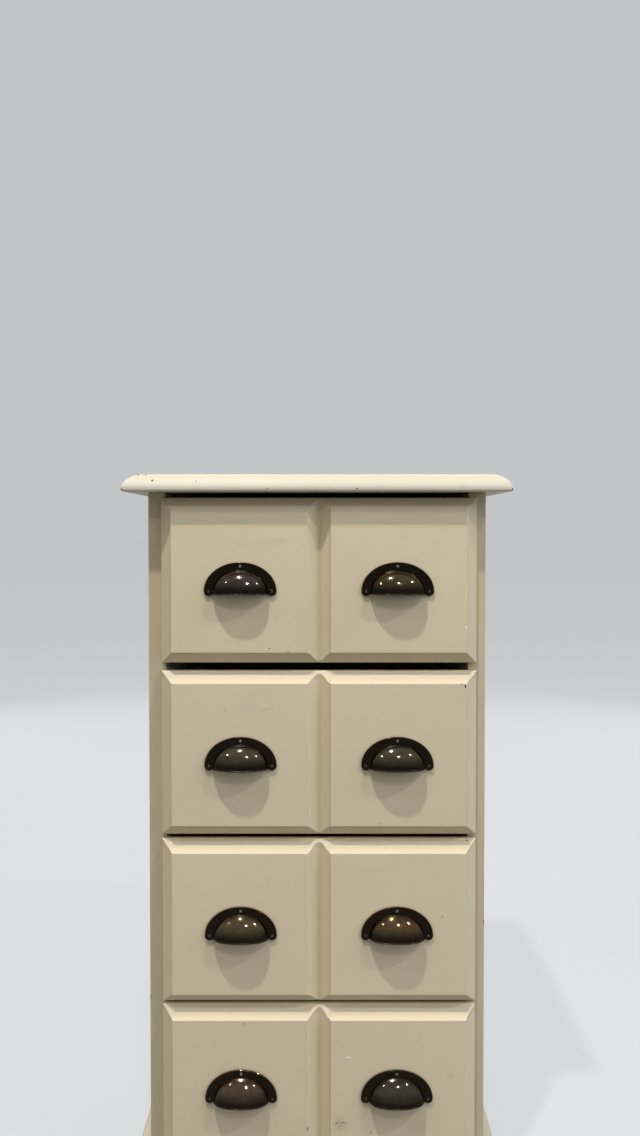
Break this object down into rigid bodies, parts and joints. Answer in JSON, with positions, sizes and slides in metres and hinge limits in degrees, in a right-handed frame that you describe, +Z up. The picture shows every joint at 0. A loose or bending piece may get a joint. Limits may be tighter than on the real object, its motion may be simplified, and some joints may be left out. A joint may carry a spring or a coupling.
{
  "type": "chest of drawers",
  "caption": "Narrow painted chest of drawers: double-fielded drawer fronts with cup pulls, a moulded overhanging top and a moulded plinth; each drawer slides on wooden side runners.",
  "frame": {"origin": "on the floor, under the middle of the chest's overall box", "axes": "+Z up, the drawers open towards -Y, +X to the right as seen from the front"},
  "size_m": [0.483, 0.4002, 0.9622],
  "materials": {
    "cream_paint": "brushed satin cream paint on wood, a little chipped",
    "bare_pine": "planed, unpainted pine",
    "plywood": "plain thin plywood",
    "aged_bronze": "dark antique bronze, satin, rubbed lighter on the cups"
  },
  "bodies": {
    "carcass": {"top_board": "cream_paint", "side_left": "cream_paint", "side_right": "cream_paint", "back_panel": "plywood", "base_board": "bare_pine", "back_rail": "bare_pine", "top_cleat_left": "bare_pine", "top_cleat_right": "bare_pine", "plinth_front": "cream_paint", "plinth_left": "cream_paint", "plinth_right": "cream_paint", "plinth_block_left": "bare_pine", "plinth_block_right": "bare_pine", "runner_1_left": "bare_pine", "runner_1_right": "bare_pine", "runner_2_left": "bare_pine", "runner_2_right": "bare_pine", "runner_3_left": "bare_pine", "runner_3_right": "bare_pine", "runner_4_left": "bare_pine", "runner_4_right": "bare_pine"},
    "drawer_1": {"drawer_1_front": "cream_paint", "drawer_1_side_left": "bare_pine", "drawer_1_side_right": "bare_pine", "drawer_1_back": "bare_pine", "drawer_1_bottom": "plywood", "drawer_1_pull_left": "aged_bronze", "drawer_1_pull_right": "aged_bronze"},
    "drawer_2": {"drawer_2_front": "cream_paint", "drawer_2_side_left": "bare_pine", "drawer_2_side_right": "bare_pine", "drawer_2_back": "bare_pine", "drawer_2_bottom": "plywood", "drawer_2_pull_left": "aged_bronze", "drawer_2_pull_right": "aged_bronze"},
    "drawer_3": {"drawer_3_front": "cream_paint", "drawer_3_side_left": "bare_pine", "drawer_3_side_right": "bare_pine", "drawer_3_back": "bare_pine", "drawer_3_bottom": "plywood", "drawer_3_pull_left": "aged_bronze", "drawer_3_pull_right": "aged_bronze"},
    "drawer_4": {"drawer_4_front": "cream_paint", "drawer_4_side_left": "bare_pine", "drawer_4_side_right": "bare_pine", "drawer_4_back": "bare_pine", "drawer_4_bottom": "plywood", "drawer_4_pull_left": "aged_bronze", "drawer_4_pull_right": "aged_bronze"}
  },
  "joints": [
    {"name": "drawer_1_slide", "type": "slide", "parent": "carcass", "child": "drawer_1", "axis": [0, -1, 0], "range_m": [0, 0.28]},
    {"name": "drawer_2_slide", "type": "slide", "parent": "carcass", "child": "drawer_2", "axis": [0, -1, 0], "range_m": [0, 0.28]},
    {"name": "drawer_3_slide", "type": "slide", "parent": "carcass", "child": "drawer_3", "axis": [0, -1, 0], "range_m": [0, 0.28]},
    {"name": "drawer_4_slide", "type": "slide", "parent": "carcass", "child": "drawer_4", "axis": [0, -1, 0], "range_m": [0, 0.28]}
  ]
}
